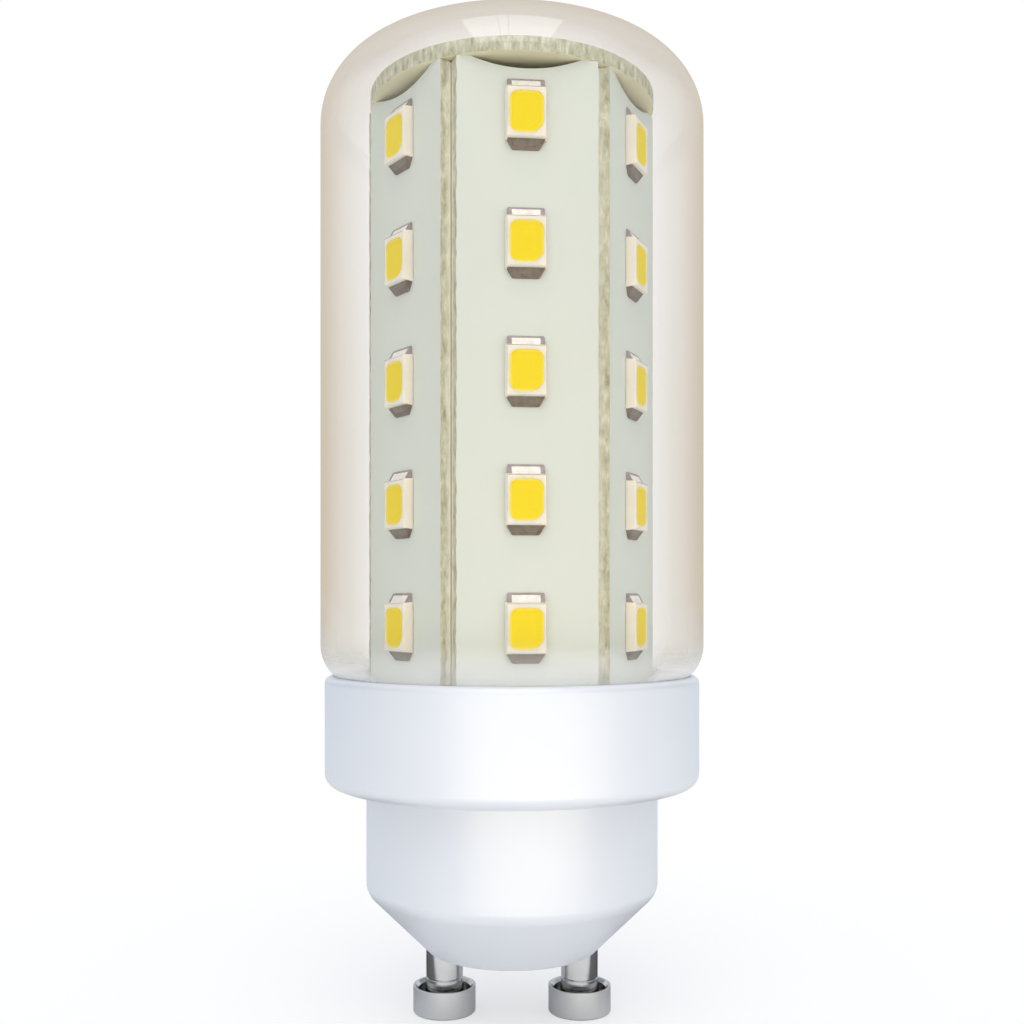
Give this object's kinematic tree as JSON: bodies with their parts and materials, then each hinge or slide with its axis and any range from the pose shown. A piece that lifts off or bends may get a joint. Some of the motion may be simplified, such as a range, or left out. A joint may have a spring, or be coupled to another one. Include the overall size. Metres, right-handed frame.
{
  "type": "led capsule bulb",
  "caption": "Clear tubular LED lamp with a domed end, a hexagonal column of LED strip boards inside, a white collar and a two-pin twist-lock cap.",
  "frame": {"origin": "on the lamp's axis, in the plane of the two pin ends", "axes": "+Z along the lamp's axis from the pins to the domed end, X through both pins, -Y towards the viewer of the picture"},
  "size_m": [0.028, 0.028, 0.072],
  "materials": {
    "clear_glass": "clear, polished",
    "white_moulding": "smooth gloss",
    "plated_pin": "bright nickel plate, turned",
    "board_white": "white solder mask, satin",
    "bare_laminate": "bare glass-fibre laminate",
    "led_cream": "satin moulding",
    "phosphor_yellow": "smooth silicone",
    "solder": "dull solder",
    "green_laminate": "green solder mask, satin",
    "black_package": "moulded",
    "capacitor_sleeve": "shrink sleeve",
    "resistor_coat": "lacquered",
    "tinned_wire": "tinned"
  },
  "bodies": {
    "root": {"base_housing": "white_moulding", "bridge_rectifier": "black_package", "carrier_plate": "board_white", "clear_cover": "clear_glass", "collar": "white_moulding", "contact_pin_left": "plated_pin", "contact_pin_right": "plated_pin", "driver_board": "green_laminate", "driver_chip": "black_package", "fuse_resistor": "resistor_coat", "led_1_1": "led_cream", "led_1_2": "led_cream", "led_1_3": "led_cream", "led_1_4": "led_cream", "led_1_5": "led_cream", "led_2_1": "led_cream", "led_2_2": "led_cream", "led_2_3": "led_cream", "led_2_4": "led_cream", "led_2_5": "led_cream", "led_3_1": "led_cream", "led_3_2": "led_cream", "led_3_3": "led_cream", "led_3_4": "led_cream", "led_3_5": "led_cream", "led_4_1": "led_cream", "led_4_2": "led_cream", "led_4_3": "led_cream", "led_4_4": "led_cream", "led_4_5": "led_cream", "led_5_1": "led_cream", "led_5_2": "led_cream", "led_5_3": "led_cream", "led_5_4": "led_cream", "led_5_5": "led_cream", "led_6_1": "led_cream", "led_6_2": "led_cream", "led_6_3": "led_cream", "led_6_4": "led_cream", "led_6_5": "led_cream", "led_board_1": "board_white", "led_board_2": "board_white", "led_board_3": "board_white", "led_board_4": "board_white", "led_board_5": "board_white", "led_board_6": "board_white", "led_wire_negative": "tinned_wire", "led_wire_positive": "tinned_wire", "phosphor_1": "phosphor_yellow", "phosphor_2": "phosphor_yellow", "phosphor_3": "phosphor_yellow", "phosphor_4": "phosphor_yellow", "phosphor_5": "phosphor_yellow", "phosphor_6": "phosphor_yellow", "smoothing_capacitor": "capacitor_sleeve", "solder_joints": "solder", "supply_wire_left": "tinned_wire", "supply_wire_right": "tinned_wire", "top_plate": "bare_laminate"}
  },
  "joints": []
}
